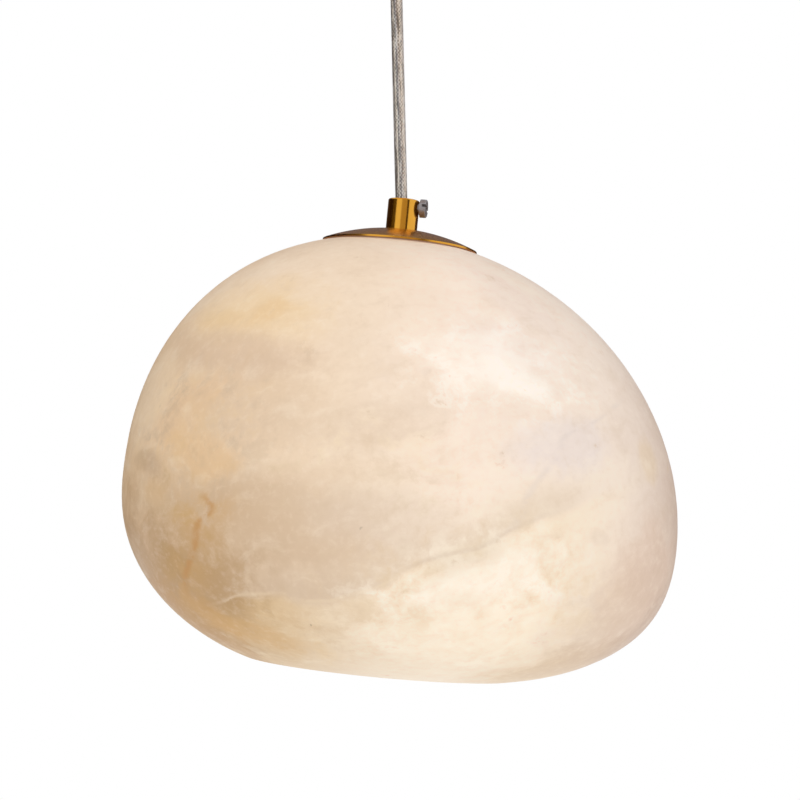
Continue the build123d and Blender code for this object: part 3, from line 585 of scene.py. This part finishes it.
def new_piece(name, data, body, material=None):
    """Finished piece that rides on a body."""
    piece = placed(name, data)
    if material:
        data.materials.append(material)
    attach(piece, body)
    return piece


def cord_frame():
    """From the Z axis, foot at the origin, to the cord's own line."""
    up = CORD_TOP - CORD_BOTTOM
    foot = CORD_BOTTOM - up.normalized() * BRAID_INSERT
    return Matrix.Translation(foot) @ up.to_track_quat("Z", "Y").to_matrix().to_4x4()


def cord_sheath():
    """Clear sheath along the cord's own line, closing in at its ends."""
    reach = (CORD_BOTTOM - CORD_TOP).normalized() * CORD_DIAMETER / 2
    turns = [CORD_END_TURN * i / CORD_END_STEPS for i in range(CORD_END_STEPS + 1)]
    route = [(CORD_TOP - reach * math.sin(turn), math.cos(turn)) for turn in reversed(turns)]
    route += [((CORD_TOP + CORD_BOTTOM) / 2, 1.0)]
    route += [(CORD_BOTTOM + reach * math.sin(turn), math.cos(turn)) for turn in turns]
    curve = bpy.data.curves.new("cord_sheath", "CURVE")
    curve.dimensions = "3D"
    spline = curve.splines.new("NURBS")
    spline.points.add(len(route) - 1)
    for point, (place, share) in zip(spline.points, route):
        point.co = (*place, 1.0)
        point.radius = share
    spline.order_u = 3
    spline.use_endpoint_u = True
    curve.bevel_depth = CORD_DIAMETER / 2
    curve.bevel_resolution = SHEATH_SMOOTHNESS
    curve.use_fill_caps = True
    sheath = new_piece("cord_sheath", curve, "hanging_cord", clear_pvc)
    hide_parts("cord")
    return sheath


def braid_rule():
    """Two sets of flat strands wound opposite ways, over and under one another by turns."""
    tree = bpy.data.node_groups.new("cord_braid", "GeometryNodeTree")
    tree.interface.new_socket("Geometry", in_out="OUTPUT", socket_type="NodeSocketGeometry")
    for name in ("Radius", "Pitch", "Length", "Width", "Thickness", "Lift"):
        tree.interface.new_socket(name, in_out="INPUT", socket_type="NodeSocketFloat")
    tree.interface.new_socket("Carriers", in_out="INPUT", socket_type="NodeSocketInt")
    tree.interface.new_socket("Material", in_out="INPUT", socket_type="NodeSocketMaterial")
    given = add(tree, "NodeGroupInput").outputs

    # A strand's flat section, and the wave in which it climbs over and under the others
    flat = add(tree, "ShaderNodeCombineXYZ", {
        "X": given["Thickness"], "Y": given["Width"], "Z": 1.0}).outputs[0]
    section = add(tree, "GeometryNodeCurvePrimitiveCircle", {
        "Resolution": STRAND_SIDES, "Radius": 0.5}).outputs[0]
    section = add(tree, "GeometryNodeTransform", {"Geometry": section, "Scale": flat}).outputs[0]
    place = add(tree, "GeometryNodeInputPosition").outputs[0]
    rise = add(tree, "ShaderNodeSeparateXYZ", {0: place}).outputs["Z"]
    beat = add(tree, "ShaderNodeMath", {
        0: given["Carriers"], 1: given["Pitch"]}, operation="DIVIDE").outputs[0]
    phase = add(tree, "ShaderNodeMath", {0: rise, 1: beat}, operation="MULTIPLY").outputs[0]
    phase = add(tree, "ShaderNodeMath", {0: phase, 1: 2 * math.pi}, operation="MULTIPLY").outputs[0]
    wave = add(tree, "ShaderNodeMath", {0: phase}, operation="COSINE").outputs[0]
    share = add(tree, "ShaderNodeMath", {
        0: given["Lift"], 1: given["Radius"]}, operation="DIVIDE").outputs[0]
    wave = add(tree, "ShaderNodeMath", {0: wave, 1: share}, operation="MULTIPLY").outputs[0]

    # One strand each way, set out round the cord as many times as there are carriers
    turns = add(tree, "ShaderNodeMath", {
        0: given["Length"], 1: given["Pitch"]}, operation="DIVIDE").outputs[0]
    step = add(tree, "ShaderNodeMath", {
        0: 2 * math.pi, 1: given["Carriers"]}, operation="DIVIDE").outputs[0]
    index = add(tree, "GeometryNodeInputIndex").outputs[0]
    angle = add(tree, "ShaderNodeMath", {0: index, 1: step}, operation="MULTIPLY").outputs[0]
    spin = add(tree, "ShaderNodeCombineXYZ", {"Z": angle}).outputs[0]
    spots = add(tree, "GeometryNodePoints", {"Count": given["Carriers"]}).outputs[0]
    joined = add(tree, "GeometryNodeJoinGeometry")
    for side, reverse in ((1.0, False), (-1.0, True)):
        strand = add(tree, "GeometryNodeCurveSpiral", {
            "Resolution": STRAND_STEPS, "Rotations": turns, "Start Radius": given["Radius"],
            "End Radius": given["Radius"], "Height": given["Length"], "Reverse": reverse}).outputs[0]
        swell = add(tree, "ShaderNodeMath", {
            0: wave, 1: side, 2: 1.0}, operation="MULTIPLY_ADD").outputs[0]
        widen = add(tree, "ShaderNodeCombineXYZ", {"X": swell, "Y": swell, "Z": 1.0}).outputs[0]
        lifted = add(tree, "ShaderNodeVectorMath", {
            0: place, 1: widen}, operation="MULTIPLY").outputs[0]
        strand = add(tree, "GeometryNodeSetPosition", {
            "Geometry": strand, "Position": lifted}).outputs[0]
        strand = add(tree, "GeometryNodeSetCurveNormal", {"Curve": strand}, mode="Z_UP").outputs[0]
        strand = add(tree, "GeometryNodeCurveToMesh", {
            "Curve": strand, "Profile Curve": section, "Fill Caps": True}).outputs[0]
        wound = add(tree, "GeometryNodeInstanceOnPoints", {
            "Points": spots, "Instance": strand, "Rotation": spin}).outputs[0]
        tree.links.new(wound, joined.inputs[0])
    smooth = add(tree, "GeometryNodeSetShadeSmooth", {0: joined.outputs[0]}).outputs[0]
    whole = add(tree, "GeometryNodeRealizeInstances", {0: smooth}).outputs[0]
    done = add(tree, "GeometryNodeSetMaterial", {
        "Geometry": whole, "Material": given["Material"]}).outputs[0]
    add(tree, "NodeGroupOutput", {0: done})
    return tree


def grown(name, tree, values):
    """Plain mesh that a rule makes from its named values."""
    seed = placed(name, bpy.data.meshes.new(name))
    rule = seed.modifiers.new(name, "NODES")
    rule.node_group = tree
    for item in tree.interface.items_tree:
        if item.in_out == "INPUT":
            rule[item.identifier] = values[item.name]
    graph = bpy.context.evaluated_depsgraph_get()
    mesh = bpy.data.meshes.new_from_object(seed.evaluated_get(graph))
    mesh.name = name
    bpy.data.objects.remove(seed)
    return mesh


def cord_braid():
    """Tinned screen under the sheath."""
    mesh = grown("cord_braid", braid_rule(), {
        "Radius": BRAID_RADIUS, "Pitch": BRAID_PITCH, "Length": BRAID_LENGTH,
        "Width": BRAID_STRAND_WIDTH, "Thickness": BRAID_STRAND_THICK, "Lift": BRAID_LIFT,
        "Carriers": BRAID_CARRIERS, "Material": tinned_copper})
    mesh.transform(cord_frame())
    return new_piece("cord_braid", mesh, "hanging_cord")


def cord_core():
    """Insulated wires inside the screen, as one round core."""
    work = bmesh.new()
    bmesh.ops.create_cone(
        work, cap_ends=True, segments=CORE_SIDES, radius1=CORE_RADIUS, radius2=CORE_RADIUS,
        depth=BRAID_LENGTH, matrix=Matrix.Translation((0, 0, BRAID_LENGTH / 2)))
    work.transform(cord_frame())
    for face in work.faces:
        face.smooth = len(face.verts) == 4
    return new_piece("cord_core", to_mesh("cord_core", work), "hanging_cord", core_white)


sheath = cord_sheath()
cord_braid()
cord_core()


def aim(thing, spot):
    """Stands a camera or a lamp at a spot and turns it to the middle of the view."""
    thing.location = spot
    thing.rotation_euler = (VIEW_CENTRE - thing.location).to_track_quat("-Z", "Y").to_euler()


def camera():
    """Camera at the photograph's angle."""
    data = bpy.data.cameras.new("photo_view")
    data.sensor_width = SENSOR
    data.lens = SENSOR * VIEW_DISTANCE / FRAME_SPAN
    scene.camera = placed("photo_view", data)
    aim(scene.camera, (VIEW_CENTRE.x, -VIEW_DISTANCE, EYE_LEVEL))


def seen_directly(tree):
    """One for what the eye sees, straight or in metal or glass, and nothing for the light on the object."""
    path = add(tree, "ShaderNodeLightPath").outputs
    seen = path["Is Camera Ray"]
    for ray in ("Is Glossy Ray", "Is Transmission Ray"):
        seen = add(tree, "ShaderNodeMath", {0: seen, 1: path[ray]}, operation="MAXIMUM").outputs[0]
    return seen


def surroundings():
    """White all round to the eye, and a little less of it as light on the object."""
    scene.world = bpy.data.worlds.new("studio")
    scene.world.use_nodes = True
    tree = scene.world.node_tree
    tree.nodes.clear()
    ambient = add(tree, "ShaderNodeBackground", {"Color": WHITE, "Strength": AMBIENT}).outputs[0]
    white = add(tree, "ShaderNodeBackground", {"Color": WHITE, "Strength": 1.0}).outputs[0]
    mixed = add(tree, "ShaderNodeMixShader", {
        0: seen_directly(tree), 1: ambient, 2: white}).outputs[0]
    add(tree, "ShaderNodeOutputWorld", {"Surface": mixed})


def paper():
    """Matt pale paper that takes a soft shadow and turns to plain white further out."""
    material = plain("pale_floor", "#EDEDEC", "#F2F2F1", grain=0.2, rough=0.7)
    tree = material.node_tree
    place = add(tree, "ShaderNodeTexCoord").outputs["Object"]
    away = add(tree, "ShaderNodeVectorMath", {0: place}, operation="LENGTH").outputs["Value"]
    fade = add(tree, "ShaderNodeMapRange", {
        "Value": away, "From Min": FLOOR_FADE[0], "From Max": FLOOR_FADE[1], "To Min": FLOOR_PALE},
        interpolation_type="SMOOTHSTEP").outputs[0]
    share = add(tree, "ShaderNodeMath", {
        0: fade, 1: seen_directly(tree)}, operation="MULTIPLY").outputs[0]
    white = add(tree, "ShaderNodeEmission", {"Color": WHITE}).outputs[0]
    shown = add(tree, "ShaderNodeMixShader", {
        0: share, 1: tree.nodes["Principled BSDF"].outputs[0], 2: white}).outputs[0]
    tree.links.new(shown, tree.nodes["Material Output"].inputs["Surface"])
    return material


def floor():
    """Pale floor, well below the light."""
    work = bmesh.new()
    bmesh.ops.create_circle(work, cap_ends=True, radius=FLOOR_RADIUS, segments=FLOOR_SIDES)
    bmesh.ops.translate(work, verts=work.verts, vec=(0, 0, FLOOR_LEVEL))
    disc = placed("floor", to_mesh("floor", work))
    disc.data.materials.append(paper())


def cards():
    """Upright cards hidden from the camera, which polished faces mirror: what gives the brass its dark and
    bright bands.
    """
    for name, start, end, low, high, shade in CARDS:
        work = bmesh.new()
        steps = max(2, round((end - start) / CARD_STEP))
        posts = []
        for i in range(steps + 1):
            turn = math.radians(start + (end - start) * i / steps)
            foot = (CARD_RADIUS * math.sin(turn), -CARD_RADIUS * math.cos(turn))
            posts.append([work.verts.new((*foot, level)) for level in (low, high)])
        for (near_foot, near_head), (far_foot, far_head) in zip(posts, posts[1:]):
            work.faces.new((near_foot, far_foot, far_head, near_head))
        card = placed(name, to_mesh(name, work))
        card.visible_camera = False
        paint = bpy.data.materials.new(name)
        paint.use_nodes = True
        paint.node_tree.nodes.clear()
        glow = add(paint.node_tree, "ShaderNodeEmission", {"Color": linear(shade)}).outputs[0]
        add(paint.node_tree, "ShaderNodeOutputMaterial", {"Surface": glow})
        card.data.materials.append(paint)


def lamps():
    """Soft light from the viewer's side, above and below, that polished faces don't mirror."""
    for name, spot, watts in LAMPS:
        data = bpy.data.lights.new(name, "AREA")
        data.size = LAMP_SIZE
        data.energy = watts
        lamp = placed(name, data)
        lamp.visible_glossy = False
        aim(lamp, spot)


camera()
surroundings()
floor()
cards()
lamps()
scene.view_settings.view_transform = "Standard"
